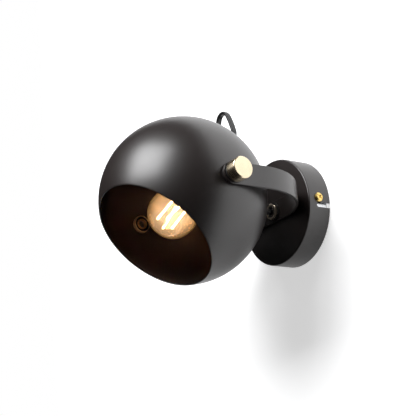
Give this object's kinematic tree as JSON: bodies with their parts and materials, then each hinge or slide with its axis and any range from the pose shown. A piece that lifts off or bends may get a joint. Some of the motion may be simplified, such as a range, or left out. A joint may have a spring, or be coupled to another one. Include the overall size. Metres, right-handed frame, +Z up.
{
  "type": "pivoting spotlight wall light",
  "caption": "Wall light with a spun ball shade, open at the front, that tilts between the arms of a flat strap yoke on a round canopy, with turned clamp knobs and a globe bulb.",
  "frame": {"origin": "middle of the wall bracket's back face, on the wall, on the hollow stem's axis", "axes": "+Z up, -Y out from the wall, +X along the tilt axis, to the right for someone who faces the wall"},
  "size_m": [0.1856, 0.202, 0.1777],
  "materials": {
    "black_powder": "satin black powder coat on steel",
    "brass": "turned and lacquered",
    "zinc": "bright zinc plate",
    "nickel": "nickel-plated, satin",
    "black_nylon": "moulded nylon",
    "holder_black": "moulded phenolic",
    "block_plastic": "translucent white nylon",
    "flex_black": "satin PVC sheath",
    "ceramic": "unglazed steatite",
    "amber_glass": "clear amber-tinted",
    "clear_glass": "clear",
    "cap_glass": "black vitrite",
    "filament": "phosphor-coated bars, lit"
  },
  "bodies": {
    "wall_base": {"wall_bracket": "zinc", "canopy": "black_powder", "canopy_screws": "brass", "terminal_block": "block_plastic", "terminal_screws": "zinc", "terminal_block_screws": "zinc", "earth_screw": "zinc", "stem_nipple": "zinc", "stem_outer_nut": "brass", "stem_inner_nut": "zinc", "stem_washer": "black_nylon", "lock_washer": "zinc", "flex_in_canopy": "flex_black", "flex_cores": "flex_black"},
    "yoke": {"yoke": "black_powder", "flex": "flex_black"},
    "shade": {"shade": "black_powder", "pivot_nipple_right": "zinc", "pivot_ring_nut_right": "brass", "friction_washer_right": "black_nylon", "knob_washer_right": "black_nylon", "pivot_nipple_left": "zinc", "pivot_ring_nut_left": "brass", "friction_washer_left": "black_nylon", "knob_washer_left": "black_nylon", "cord_grip": "black_nylon", "cord_grip_screw": "black_nylon", "holder_dome": "holder_black", "holder_sleeve": "holder_black", "holder_core": "ceramic", "holder_liner": "brass", "holder_centre_contact": "brass", "bulb_glass": "amber_glass", "bulb_cap": "nickel", "bulb_insulator": "cap_glass", "bulb_eyelet": "nickel", "bulb_stem": "clear_glass", "bulb_filaments": "filament", "bulb_lead_wires": "nickel", "flex_in_shade": "flex_black"},
    "knob_right": {"knob_right": "brass"},
    "knob_left": {"knob_left": "brass"}
  },
  "joints": [
    {"name": "yoke_swivel", "type": "hinge", "parent": "wall_base", "child": "yoke", "pos_m": [0, -0.0254, 0], "axis": [0, 1, 0], "range_deg": [-90, 90]},
    {"name": "shade_tilt", "type": "hinge", "parent": "yoke", "child": "shade", "pos_m": [0, -0.127, 0], "axis": [1, 0, 0], "range_deg": [-30, 42.5], "deforming": ["flex"]},
    {"name": "knob_right_turn", "type": "hinge", "parent": "shade", "child": "knob_right", "pos_m": [0.087, -0.127, 0], "axis": [1, 0, 0], "range_deg": [0, 180]},
    {"name": "knob_left_turn", "type": "hinge", "parent": "shade", "child": "knob_left", "pos_m": [-0.087, -0.127, 0], "axis": [-1, 0, 0], "range_deg": [0, 180]}
  ]
}
